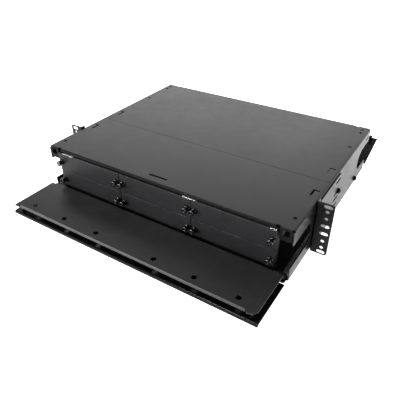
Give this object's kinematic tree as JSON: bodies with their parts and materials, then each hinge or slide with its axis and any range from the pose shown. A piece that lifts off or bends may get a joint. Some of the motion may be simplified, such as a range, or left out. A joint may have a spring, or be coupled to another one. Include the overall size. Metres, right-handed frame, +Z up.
{
  "type": "fiber termination box",
  "caption": "Two-unit rack-mount fibre termination box with a sliding drawer of blank adapter panels, flip-down front and rear doors and slotted rack ears.",
  "frame": {"origin": "centre of the chassis's bottom face", "axes": "+Z up, the front (drawer and front door) faces -Y, X runs along the rack with the right ear at +X"},
  "size_m": [0.4826, 0.521, 0.0852],
  "materials": {
    "black_powder_coat": "fine-textured satin black powder coat",
    "door_coat": "smooth semi-gloss black coat",
    "hinge_steel": "zinc-plated satin",
    "black_nylon": "moulded black nylon, satin",
    "black_screw": "black oxide",
    "splice_plastic": "moulded light plastic"
  },
  "bodies": {
    "chassis": {"chassis_pan": "black_powder_coat", "front_cover": "black_powder_coat", "rear_cover": "black_powder_coat", "rack_ear_left": "black_powder_coat", "rack_ear_right": "black_powder_coat", "drawer_guide_left": "hinge_steel", "drawer_guide_right": "hinge_steel", "ear_screw_left": "black_screw", "ear_screw_right": "black_screw", "ground_screw": "black_screw", "front_hinge_leaf_left": "hinge_steel", "front_hinge_leaf_right": "hinge_steel", "front_hinge_pin_left": "hinge_steel", "front_hinge_pin_right": "hinge_steel", "rear_hinge_leaf_left": "hinge_steel", "rear_hinge_leaf_right": "hinge_steel", "rear_hinge_pin_left": "hinge_steel", "rear_hinge_pin_right": "hinge_steel"},
    "drawer": {"drawer_tray": "black_powder_coat", "panel_frame": "black_powder_coat", "blank_panel_r1c1": "black_powder_coat", "blank_panel_r1c2": "black_powder_coat", "blank_panel_r1c3": "black_powder_coat", "blank_panel_r2c1": "black_powder_coat", "blank_panel_r2c2": "black_powder_coat", "blank_panel_r2c3": "black_powder_coat", "grommet_r1c1_left": "black_nylon", "grommet_r1c1_right": "black_nylon", "grommet_r1c2_left": "black_nylon", "grommet_r1c2_right": "black_nylon", "grommet_r1c3_left": "black_nylon", "grommet_r1c3_right": "black_nylon", "grommet_r2c1_left": "black_nylon", "grommet_r2c1_right": "black_nylon", "grommet_r2c2_left": "black_nylon", "grommet_r2c2_right": "black_nylon", "grommet_r2c3_left": "black_nylon", "grommet_r2c3_right": "black_nylon", "fibre_spool_left": "black_nylon", "fibre_spool_right": "black_nylon", "splice_tray": "splice_plastic", "splice_tray_lid": "splice_plastic"},
    "front_door": {"front_door": "door_coat"},
    "rear_door": {"rear_door": "door_coat"},
    "front_latch_left": {"front_latch_left": "black_nylon"},
    "front_latch_right": {"front_latch_right": "black_nylon"},
    "rear_latch_left": {"rear_latch_left": "black_nylon"},
    "rear_latch_right": {"rear_latch_right": "black_nylon"},
    "plunger_r1c1_left": {"plunger_r1c1_left": "black_nylon"},
    "plunger_r1c1_right": {"plunger_r1c1_right": "black_nylon"},
    "plunger_r1c2_left": {"plunger_r1c2_left": "black_nylon"},
    "plunger_r1c2_right": {"plunger_r1c2_right": "black_nylon"},
    "plunger_r1c3_left": {"plunger_r1c3_left": "black_nylon"},
    "plunger_r1c3_right": {"plunger_r1c3_right": "black_nylon"},
    "plunger_r2c1_left": {"plunger_r2c1_left": "black_nylon"},
    "plunger_r2c1_right": {"plunger_r2c1_right": "black_nylon"},
    "plunger_r2c2_left": {"plunger_r2c2_left": "black_nylon"},
    "plunger_r2c2_right": {"plunger_r2c2_right": "black_nylon"},
    "plunger_r2c3_left": {"plunger_r2c3_left": "black_nylon"},
    "plunger_r2c3_right": {"plunger_r2c3_right": "black_nylon"}
  },
  "joints": [
    {"name": "drawer_slide", "type": "slide", "parent": "chassis", "child": "drawer", "axis": [0, 1, 0], "range_m": [0, 0.088]},
    {"name": "front_door_swing", "type": "hinge", "parent": "chassis", "child": "front_door", "pos_m": [0, -0.1813, 0.0032], "axis": [-1, 0, 0], "range_deg": [-90, 0]},
    {"name": "rear_door_swing", "type": "hinge", "parent": "chassis", "child": "rear_door", "pos_m": [0, 0.1813, 0.0032], "axis": [1, 0, 0], "range_deg": [-105, 75]},
    {"name": "front_latch_left_pull", "type": "slide", "parent": "front_door", "child": "front_latch_left", "axis": [0, 0, -1], "range_m": [0, 0.004]},
    {"name": "front_latch_right_pull", "type": "slide", "parent": "front_door", "child": "front_latch_right", "axis": [0, 0, -1], "range_m": [0, 0.004]},
    {"name": "rear_latch_left_pull", "type": "slide", "parent": "rear_door", "child": "rear_latch_left", "axis": [0, 0.2588, -0.9659], "range_m": [0, 0.004]},
    {"name": "rear_latch_right_pull", "type": "slide", "parent": "rear_door", "child": "rear_latch_right", "axis": [0, 0.2588, -0.9659], "range_m": [0, 0.004]},
    {"name": "plunger_r1c1_left_pull", "type": "slide", "parent": "drawer", "child": "plunger_r1c1_left", "axis": [0, -1, 0], "range_m": [0, 0.0045]},
    {"name": "plunger_r1c1_right_pull", "type": "slide", "parent": "drawer", "child": "plunger_r1c1_right", "axis": [0, -1, 0], "range_m": [0, 0.0045]},
    {"name": "plunger_r1c2_left_pull", "type": "slide", "parent": "drawer", "child": "plunger_r1c2_left", "axis": [0, -1, 0], "range_m": [0, 0.0045]},
    {"name": "plunger_r1c2_right_pull", "type": "slide", "parent": "drawer", "child": "plunger_r1c2_right", "axis": [0, -1, 0], "range_m": [0, 0.0045]},
    {"name": "plunger_r1c3_left_pull", "type": "slide", "parent": "drawer", "child": "plunger_r1c3_left", "axis": [0, -1, 0], "range_m": [0, 0.0045]},
    {"name": "plunger_r1c3_right_pull", "type": "slide", "parent": "drawer", "child": "plunger_r1c3_right", "axis": [0, -1, 0], "range_m": [0, 0.0045]},
    {"name": "plunger_r2c1_left_pull", "type": "slide", "parent": "drawer", "child": "plunger_r2c1_left", "axis": [0, -1, 0], "range_m": [0, 0.0045]},
    {"name": "plunger_r2c1_right_pull", "type": "slide", "parent": "drawer", "child": "plunger_r2c1_right", "axis": [0, -1, 0], "range_m": [0, 0.0045]},
    {"name": "plunger_r2c2_left_pull", "type": "slide", "parent": "drawer", "child": "plunger_r2c2_left", "axis": [0, -1, 0], "range_m": [0, 0.0045]},
    {"name": "plunger_r2c2_right_pull", "type": "slide", "parent": "drawer", "child": "plunger_r2c2_right", "axis": [0, -1, 0], "range_m": [0, 0.0045]},
    {"name": "plunger_r2c3_left_pull", "type": "slide", "parent": "drawer", "child": "plunger_r2c3_left", "axis": [0, -1, 0], "range_m": [0, 0.0045]},
    {"name": "plunger_r2c3_right_pull", "type": "slide", "parent": "drawer", "child": "plunger_r2c3_right", "axis": [0, -1, 0], "range_m": [0, 0.0045]}
  ]
}
